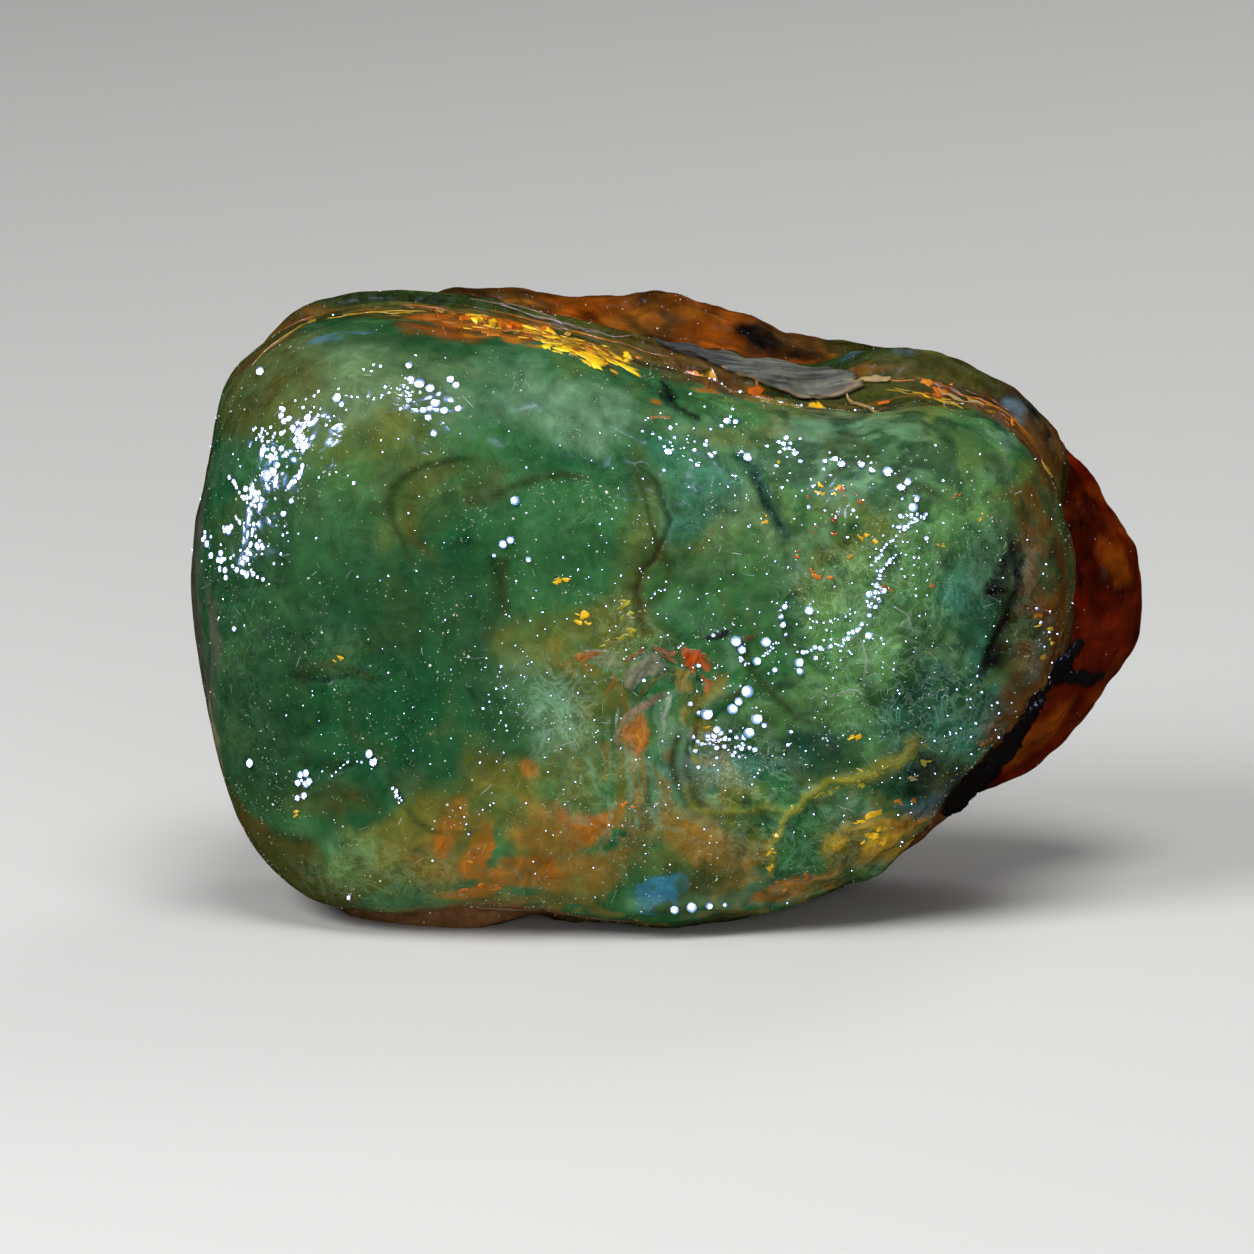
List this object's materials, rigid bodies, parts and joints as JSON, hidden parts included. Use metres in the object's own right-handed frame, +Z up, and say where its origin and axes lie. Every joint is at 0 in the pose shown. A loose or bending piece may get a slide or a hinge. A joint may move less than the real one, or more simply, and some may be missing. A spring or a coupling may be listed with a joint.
{
  "type": "rough amber",
  "caption": "Rough lump of dark green translucent amber with a red-brown back, lying on its long edge, with fossil wood stuck in its grooves.",
  "frame": {"origin": "under the middle of the lump, on the surface it rests on", "axes": "+Z up, +X along the long side towards the red lobe, and -Y out of the broad green front face"},
  "size_m": [0.0644, 0.0306, 0.0409],
  "materials": {
    "amber": "polished",
    "bark": "matte",
    "lignite": "gloss",
    "straw": "satin"
  },
  "bodies": {
    "root": {"amber": "amber", "bark_splinter": "bark", "lignite_seam": "lignite", "straw_sliver_1": "straw", "straw_sliver_2": "straw", "straw_sliver_3": "straw"}
  },
  "joints": []
}
